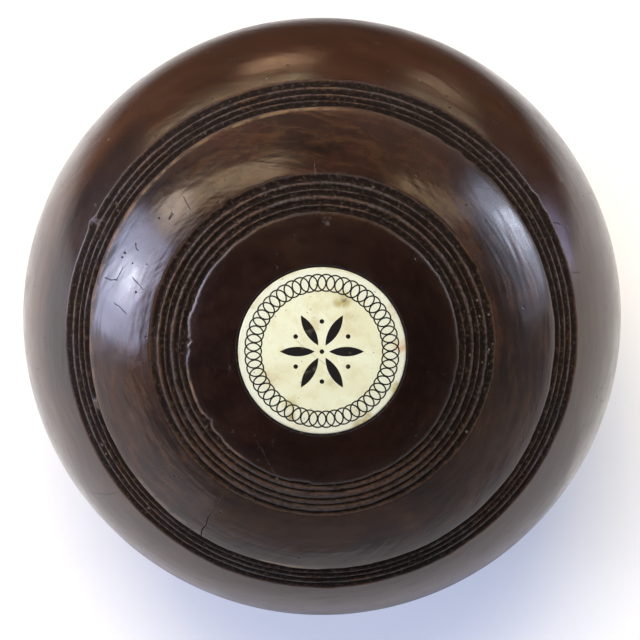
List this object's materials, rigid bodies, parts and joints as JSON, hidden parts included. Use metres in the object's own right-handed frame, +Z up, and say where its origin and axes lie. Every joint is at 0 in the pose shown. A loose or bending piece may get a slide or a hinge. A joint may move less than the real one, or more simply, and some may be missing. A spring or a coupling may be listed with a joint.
{
  "type": "lawn bowl",
  "caption": "Antique turned hardwood lawn bowl with grooved rings on both sides and a round engraved inlay disc let into each side.",
  "frame": {"origin": "middle of the small disc's flat face, on which the bowl rests, at the bottom of the bowl", "axes": "+Z up along the disc axis, from the small disc on the bias side to the large disc; X and Y are equal, because the bowl is turned about Z"},
  "size_m": [0.125, 0.125, 0.1163],
  "materials": {
    "turned_wood": "dark oily hardwood, worn french polish, streaky grain",
    "inlay_disc": "aged cream ivory-like disc, polished, lightly stained",
    "engraving_wax": "black wax rubbed into engraving, worn",
    "disc_cement": "dark resin cement"
  },
  "bodies": {
    "root": {"bowl_body": "turned_wood", "large_disc": "inlay_disc", "large_disc_border_fill": "engraving_wax", "large_disc_mark_fill": "engraving_wax", "large_disc_cement": "disc_cement", "small_disc": "inlay_disc", "small_disc_border_fill": "engraving_wax", "small_disc_mark_fill": "engraving_wax", "small_disc_cement": "disc_cement"}
  },
  "joints": []
}
